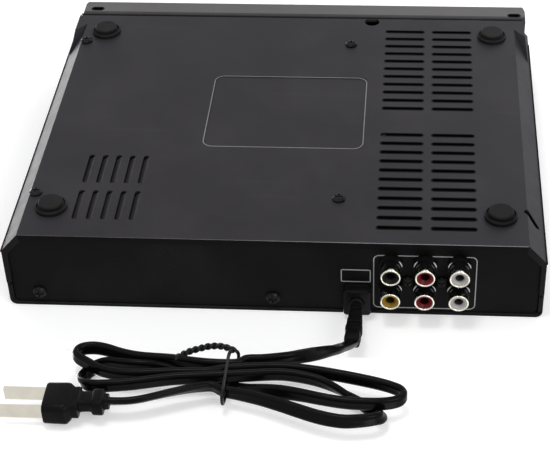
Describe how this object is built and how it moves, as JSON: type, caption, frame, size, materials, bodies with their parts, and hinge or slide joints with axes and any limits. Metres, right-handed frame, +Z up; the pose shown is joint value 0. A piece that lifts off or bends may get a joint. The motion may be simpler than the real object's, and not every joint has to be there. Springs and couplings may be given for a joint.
{
  "type": "dvd player",
  "caption": "Flat disc player with a motor-driven front tray, laser pickup traverse, vented sheet-metal case, rear phono jacks and a captive mains cord tied in a hank.",
  "frame": {"origin": "centre of the footprint, buttons and jacks included, on the surface under the feet; the free cord isn't counted", "axes": "+X to the right seen from the front, +Y from the tray to the rear jacks, +Z up through the cover"},
  "size_m": [0.225, 0.2955, 0.0415],
  "materials": {
    "case_metal": "satin dark grey-violet paint",
    "panel_metal": "flat black paint",
    "bezel_plastic": "fine textured dark grey",
    "window_plastic": "clear dark tint",
    "black_plastic": "satin black",
    "button_plastic": "satin silver",
    "gear_plastic": "natural",
    "rubber": "matte",
    "zinc_steel": "zinc plated",
    "bright_steel": "ground",
    "brass": "plain",
    "die_cast": "as cast",
    "circuit_board": "solder mask",
    "paper_board": "bare laminate",
    "winding": "yellow tape",
    "can_sleeve": "dark blue sleeve",
    "lens": "coated",
    "flex": "white film",
    "nickel": "nickel plated",
    "red": "plain",
    "white": "plain",
    "yellow": "plain",
    "screw_black": "black zinc"
  },
  "bodies": {
    "case": {"chassis": "case_metal", "top_cover": "case_metal", "rear_panel": "panel_metal", "front_bezel": "bezel_plastic", "feet": "rubber", "display_window": "window_plastic", "display_module": "black_plastic", "remote_receiver": "window_plastic", "front_board": "circuit_board", "key_switches": "black_plastic", "loader_base": "black_plastic", "clamp_bridge": "zinc_steel", "drive_belt": "rubber", "loading_motor": "zinc_steel", "decoder_board": "circuit_board", "decoder_chips": "black_plastic", "power_board": "paper_board", "transformer": "winding", "capacitors": "can_sleeve", "heat_sink": "die_cast", "ribbon_cable": "flex", "mains_wires": "black_plastic", "jack_block": "black_plastic", "jack_shells": "nickel", "jack_black": "black_plastic", "jack_red": "red", "jack_white": "white", "jack_yellow": "yellow", "jack_contacts": "brass", "mains_inlet": "black_plastic", "mains_connector": "black_plastic", "strain_relief": "rubber", "cord_lead": "rubber", "cord_hank": "rubber", "cord_tie": "black_plastic", "plug_lead": "rubber", "mains_plug": "black_plastic", "plug_pins": "nickel", "case_screws": "screw_black", "inner_screws": "zinc_steel"},
    "tray": {"tray": "black_plastic", "tray_door": "bezel_plastic"},
    "drive_gear": {"drive_gear": "gear_plastic"},
    "belt_gear": {"belt_gear": "gear_plastic"},
    "motor_pulley": {"motor_pulley": "brass"},
    "cam_slider": {"cam_slider": "gear_plastic"},
    "traverse": {"traverse_deck": "zinc_steel", "spindle_motor": "zinc_steel", "guide_rods": "bright_steel", "sled_motor": "zinc_steel"},
    "turntable": {"turntable": "black_plastic"},
    "clamper": {"clamper": "gear_plastic"},
    "pickup": {"pickup_sled": "die_cast"},
    "lens": {"lens_holder": "black_plastic", "pickup_lens": "lens"},
    "sled_screw": {"sled_screw": "brass"},
    "power_button": {"power_button": "button_plastic"},
    "eject_button": {"eject_button": "black_plastic"},
    "play_button": {"play_button": "black_plastic"},
    "stop_button": {"stop_button": "black_plastic"}
  },
  "joints": [
    {"name": "tray_slide", "type": "slide", "parent": "case", "child": "tray", "axis": [0, -1, 0], "range_m": [0, 0.128]},
    {"name": "drive_gear_spin", "type": "hinge", "parent": "case", "child": "drive_gear", "pos_m": [-0.09, -0.07, 0.012], "axis": [0, 0, 1], "range_deg": [0, 1048.69]},
    {"name": "belt_gear_spin", "type": "hinge", "parent": "case", "child": "belt_gear", "pos_m": [-0.09, -0.054, 0.012], "axis": [0, 0, 1], "range_deg": [-1747.16, 0]},
    {"name": "motor_pulley_spin", "type": "hinge", "parent": "case", "child": "motor_pulley", "pos_m": [-0.09, -0.026, 0.014], "axis": [0, 0, 1], "range_deg": [-7044.63, 0]},
    {"name": "deck_tilt", "type": "hinge", "parent": "case", "child": "traverse", "pos_m": [-0.038, 0.044, 0.015], "axis": [1, 0, 0], "range_deg": [0, 2.1]},
    {"name": "cam_slide", "type": "slide", "parent": "case", "child": "cam_slider", "axis": [1, 0, 0], "range_m": [0, 0.0181]},
    {"name": "turntable_spin", "type": "hinge", "parent": "traverse", "child": "turntable", "pos_m": [-0.038, -0.032, 0.02], "axis": [0, 0, 1], "continuous": true},
    {"name": "clamper_spin", "type": "hinge", "parent": "case", "child": "clamper", "pos_m": [-0.038, -0.032, 0.03], "axis": [0, 0, 1], "continuous": true},
    {"name": "sled_slide", "type": "slide", "parent": "traverse", "child": "pickup", "axis": [0, 1, 0], "range_m": [0, 0.034]},
    {"name": "screw_spin", "type": "hinge", "parent": "traverse", "child": "sled_screw", "pos_m": [-0.021, 0, 0.0099], "axis": [0, 1, 0], "range_deg": [0, 4120]},
    {"name": "lens_focus", "type": "slide", "parent": "pickup", "child": "lens", "axis": [0, 0, 1], "range_m": [-0.0004, 0.0006], "stiffness_N_per_m": 20},
    {"name": "power_press", "type": "slide", "parent": "case", "child": "power_button", "axis": [0, 1, 0], "range_m": [0, 0.0006], "stiffness_N_per_m": 800},
    {"name": "eject_press", "type": "slide", "parent": "case", "child": "eject_button", "axis": [0, 1, 0], "range_m": [0, 0.0006], "stiffness_N_per_m": 800},
    {"name": "play_press", "type": "slide", "parent": "case", "child": "play_button", "axis": [0, 1, 0], "range_m": [0, 0.0006], "stiffness_N_per_m": 800},
    {"name": "stop_press", "type": "slide", "parent": "case", "child": "stop_button", "axis": [0, 1, 0], "range_m": [0, 0.0006], "stiffness_N_per_m": 800}
  ],
  "couplings": [
    {"joint": "drive_gear_spin", "follows": "tray_slide", "rad_per_m": 142.86},
    {"joint": "belt_gear_spin", "follows": "tray_slide", "rad_per_m": -238.1},
    {"joint": "motor_pulley_spin", "follows": "tray_slide", "rad_per_m": -952.38},
    {"joint": "cam_slide", "follows": "deck_tilt", "m_per_rad": 0.49111},
    {"joint": "clamper_spin", "follows": "turntable_spin", "ratio": 1},
    {"joint": "screw_spin", "follows": "sled_slide", "rad_per_m": 2094.4}
  ]
}
